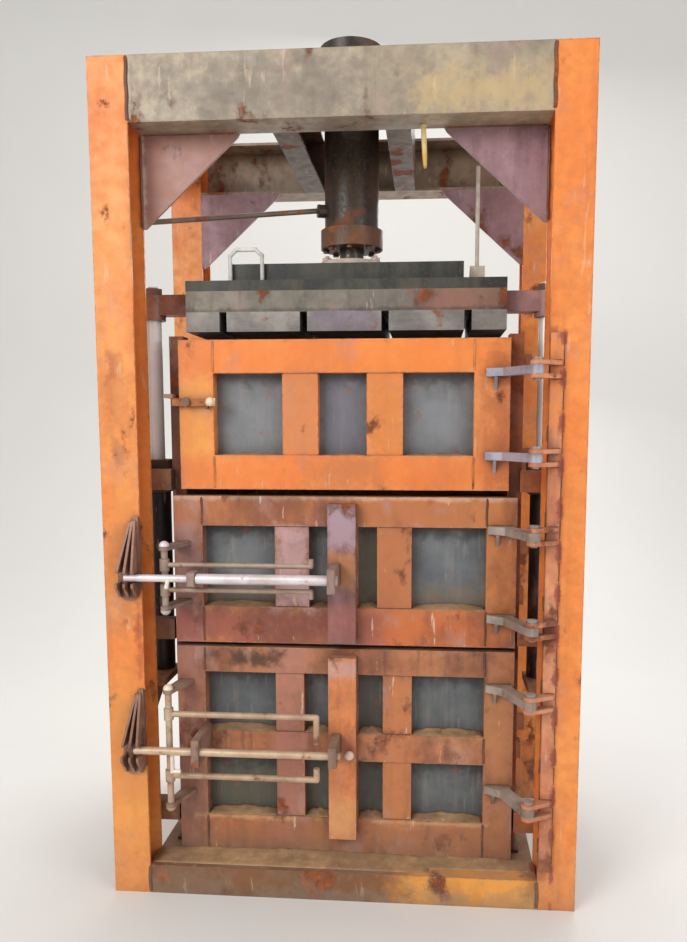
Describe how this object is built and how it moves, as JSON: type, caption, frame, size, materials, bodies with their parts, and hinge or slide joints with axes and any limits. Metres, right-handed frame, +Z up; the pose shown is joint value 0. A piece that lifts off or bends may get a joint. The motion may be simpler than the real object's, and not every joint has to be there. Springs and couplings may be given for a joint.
{
  "type": "recycling_baler",
  "caption": "Upright hydraulic recycling baler with orange welded frame, press cylinder, lifted platen and three barred side-hung doors with bolt latches",
  "frame": {"origin": "middle of the footprint on the floor", "axes": "X to the right seen from the doors, Y to the rear (doors face -Y), Z up"},
  "size_m": [1.56, 0.992, 2.925],
  "materials": {
    "orange_paint": "worn orange paint with rust and dirt",
    "primer_paint": "red-brown primer, worn and rusted",
    "black_paint": "black paint",
    "bright_rod": "ground bright steel",
    "dark_steel": "greasy dark steel with rust",
    "bare_steel": "dull bare steel"
  },
  "bodies": {
    "root": {"column_front_left": "orange_paint", "column_front_right": "orange_paint", "column_rear_left": "orange_paint", "column_rear_right": "orange_paint", "top_beam_front": "primer_paint", "top_beam_rear": "primer_paint", "top_ties": "orange_paint", "cylinder_bridge": "primer_paint", "gussets": "primer_paint", "base_beam_front": "orange_paint", "base_beam_rear": "orange_paint", "base_rails": "orange_paint", "floor_plate": "dark_steel", "floor_bars": "dark_steel", "wall_left": "primer_paint", "wall_right": "primer_paint", "wall_rear": "primer_paint", "hinge_strip": "bare_steel", "hinge_pins": "bare_steel", "latch_brackets": "bare_steel", "main_barrel": "dark_steel", "main_gland": "dark_steel", "cylinder_bolts": "bare_steel", "side_barrels": "black_paint", "side_glands": "dark_steel", "side_feet": "primer_paint", "feed_pipe": "dark_steel"},
    "ram": {"main_rod": "bright_rod", "main_piston": "bright_rod", "rod_flange": "dark_steel", "flange_bolts": "bare_steel", "platen_plate": "dark_steel", "platen_frame": "dark_steel", "pressing_bars": "dark_steel", "ear_left": "bare_steel", "ear_right": "bare_steel", "side_rod_left": "bright_rod", "side_rod_right": "bright_rod", "rod_nuts": "bare_steel", "lifting_loop": "bare_steel", "level_rod": "bare_steel"},
    "door_top": {"top_frame": "orange_paint", "top_sheet": "dark_steel", "top_arms": "bare_steel", "top_stud": "bare_steel"},
    "top_latch": {"top_lever": "bare_steel"},
    "door_mid": {"mid_frame": "primer_paint", "mid_sheet": "dark_steel", "mid_arms": "bare_steel", "mid_lock_bar": "primer_paint", "mid_mounts": "bare_steel"},
    "mid_bolt_body": {"mid_bolt": "bright_rod"},
    "mid_bail_body": {"mid_bail": "bare_steel"},
    "door_low": {"low_frame": "primer_paint", "low_sheet": "dark_steel", "low_arms": "bare_steel", "low_lock_bar": "primer_paint", "low_mounts": "bare_steel"},
    "low_bolt_body": {"low_bolt": "bright_rod"},
    "low_bail_body": {"low_bail": "bare_steel"}
  },
  "joints": [
    {"name": "ram_slide", "type": "slide", "parent": "root", "child": "ram", "axis": [0, 0, 1], "range_m": [-0.45, 0]},
    {"name": "door_top_hinge", "type": "hinge", "parent": "root", "child": "door_top", "pos_m": [0.615, -0.474, 1.63], "axis": [0, 0, 1], "range_deg": [0, 135]},
    {"name": "door_mid_hinge", "type": "hinge", "parent": "root", "child": "door_mid", "pos_m": [0.615, -0.474, 1.1], "axis": [0, 0, 1], "range_deg": [0, 135]},
    {"name": "door_low_hinge", "type": "hinge", "parent": "root", "child": "door_low", "pos_m": [0.615, -0.474, 0.54], "axis": [0, 0, 1], "range_deg": [0, 135]},
    {"name": "top_latch_turn", "type": "hinge", "parent": "door_top", "child": "top_latch", "pos_m": [-0.52, -0.33, 1.6767], "axis": [0, 1, 0], "range_deg": [-80, 0]},
    {"name": "mid_bolt_slide", "type": "slide", "parent": "door_mid", "child": "mid_bolt_body", "axis": [1, 0, 0], "range_m": [0, 0.05]},
    {"name": "mid_bail_turn", "type": "hinge", "parent": "door_mid", "child": "mid_bail_body", "pos_m": [-0.578, -0.426, 1.105], "axis": [0, 0, 1], "range_deg": [-110, 0]},
    {"name": "low_bolt_slide", "type": "slide", "parent": "door_low", "child": "low_bolt_body", "axis": [1, 0, 0], "range_m": [0, 0.04]},
    {"name": "low_bail_turn", "type": "hinge", "parent": "door_low", "child": "low_bail_body", "pos_m": [-0.578, -0.426, 0.5203], "axis": [0, 0, 1], "range_deg": [-110, 0]}
  ]
}
